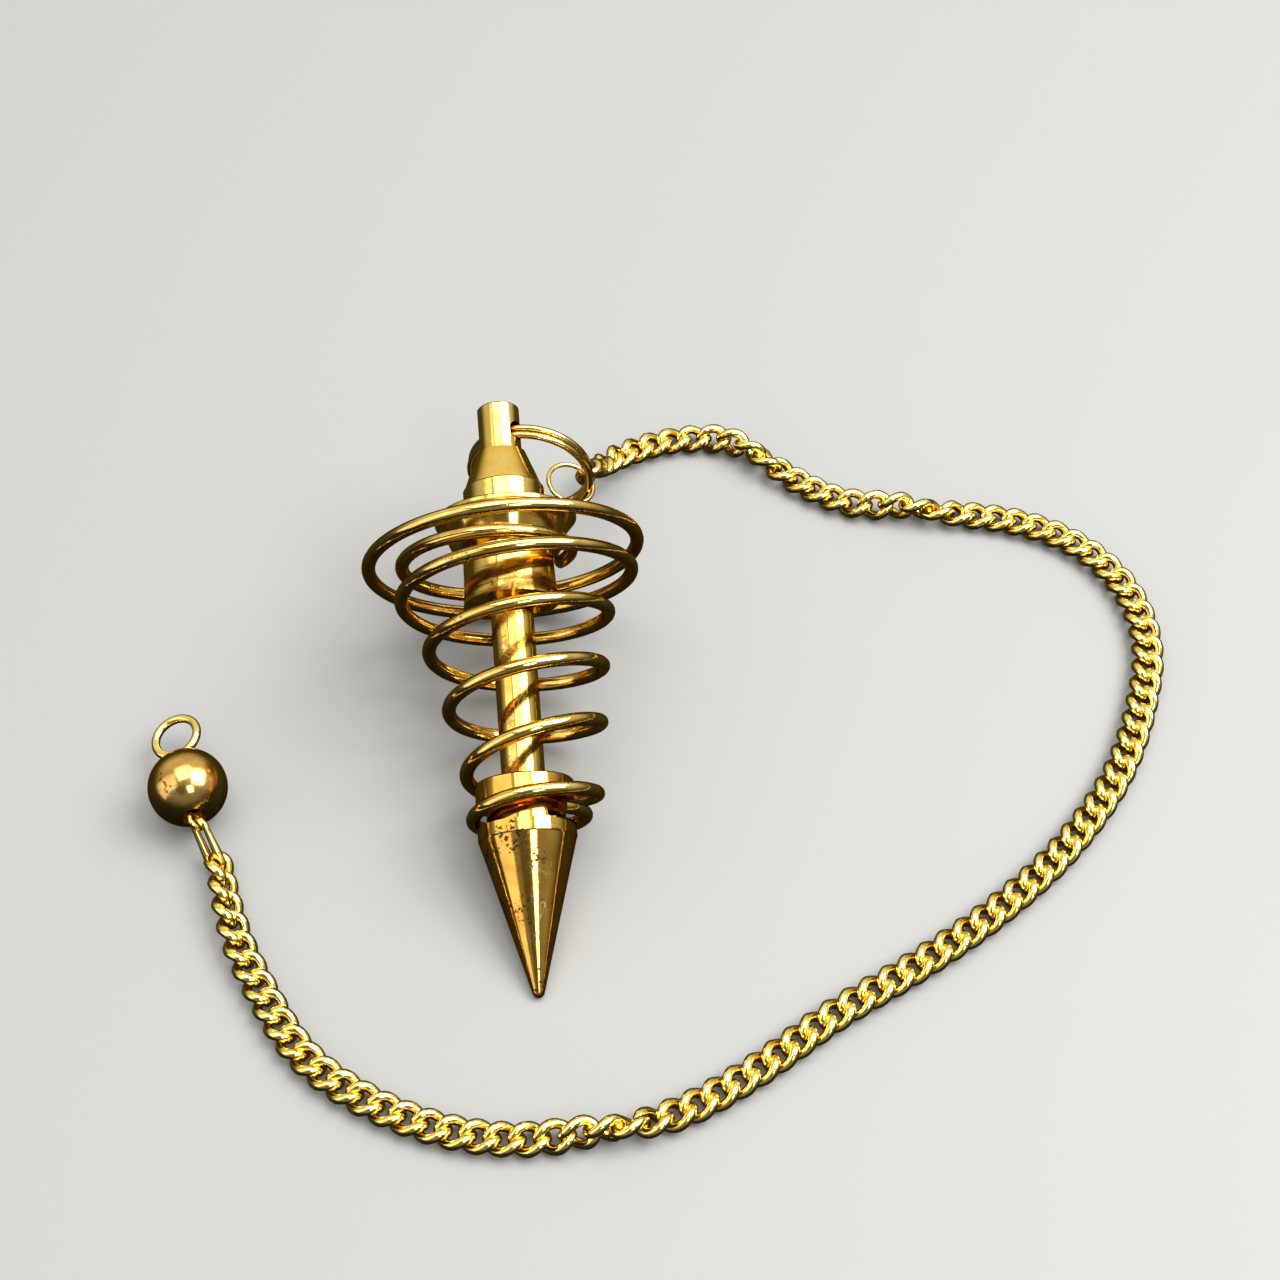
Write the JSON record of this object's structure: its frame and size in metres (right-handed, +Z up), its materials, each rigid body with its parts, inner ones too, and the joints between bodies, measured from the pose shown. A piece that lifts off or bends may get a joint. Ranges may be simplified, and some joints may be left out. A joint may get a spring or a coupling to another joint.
{
  "type": "pendulum pendant",
  "caption": "Turned brass pendulum bob with a pointed tip and a wire spiral, on a curb chain with a split ring at one end and a drilled ball at the other",
  "frame": {"origin": "centre of the whole piece's box as it lies, on the flat surface under it", "axes": "+Z up from the surface; the bob's axis points along +Y from its tip, 5.1 degrees towards -X, and climbs at 17.8 degrees; +X to the right of the bob, where the chain's wide bend lies"},
  "size_m": [0.0972, 0.081, 0.026],
  "materials": {
    "polished_brass": "turned and polished, with small dark tarnish spots on the tip",
    "drawn_brass": "drawn rod with scratches across it",
    "rough_wire": "bright drawn wire, slightly rough",
    "ring_wire": "pale bright wire",
    "gilt_chain": "bright gold-plated brass",
    "aged_brass": "polished and browned with age"
  },
  "bodies": {
    "root": {"tip": "polished_brass", "rod": "drawn_brass", "head": "polished_brass", "spiral": "rough_wire", "split_ring": "ring_wire", "jump_ring": "ring_wire", "chain": "gilt_chain", "ball_link": "gilt_chain", "ball": "aged_brass", "end_pin": "ring_wire"}
  },
  "joints": []
}
